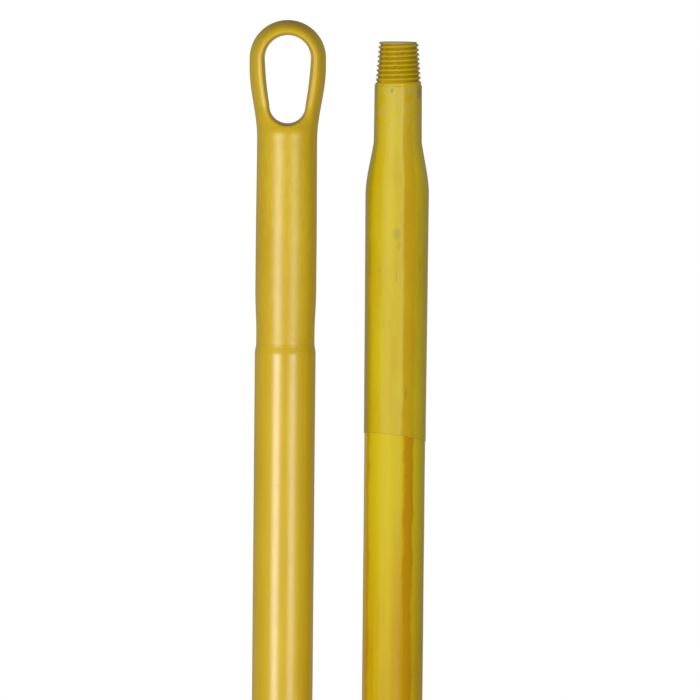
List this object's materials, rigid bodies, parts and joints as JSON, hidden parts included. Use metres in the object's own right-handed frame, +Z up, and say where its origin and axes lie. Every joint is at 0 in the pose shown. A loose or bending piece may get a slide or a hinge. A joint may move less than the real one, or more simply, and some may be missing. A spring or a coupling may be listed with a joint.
{
  "type": "roller extension pole",
  "caption": "Screw-together paint roller pole in plastic-jacketed sections, lying side by side: a grip with a hang loop, and an extension with a tapered threaded tip and a socket.",
  "frame": {"origin": "centre of the round upper end of the hang eye, on the handle section's axis", "axes": "+Z up along both sections, towards the loop and the extension's thread; +X from the handle section to the extension section; the hang eye runs through along Y"},
  "size_m": [0.0823, 0.029, 0.6315],
  "materials": {
    "grip_plastic": "satin moulded polypropylene, golden yellow",
    "handle_jacket_plastic": "satin extruded polypropylene, golden yellow",
    "tip_plastic": "glossy moulded nylon, lemon yellow with scuffs",
    "extension_jacket_plastic": "glossy extruded polypropylene, deep yellow",
    "core_plastic": "glass-filled nylon, dark grey",
    "tube_metal": "drawn, mill finish",
    "ferrule_metal": "turned and brushed",
    "pin_steel": "zinc plated"
  },
  "bodies": {
    "handle": {"hang_grip": "grip_plastic", "grip_core": "core_plastic", "handle_tube": "tube_metal", "handle_jacket": "handle_jacket_plastic", "handle_tip": "tip_plastic", "handle_tip_core": "core_plastic", "handle_pins": "pin_steel"},
    "extension": {"extension_tip": "tip_plastic", "extension_tip_core": "core_plastic", "extension_tube": "tube_metal", "extension_jacket": "extension_jacket_plastic", "socket_insert": "core_plastic", "socket_ferrule": "ferrule_metal", "extension_pins": "pin_steel"}
  },
  "joints": [
    {"name": "extension_lift", "type": "slide", "parent": "handle", "child": "extension", "axis": [0, 0, 1], "range_m": [0, 0.65]}
  ]
}
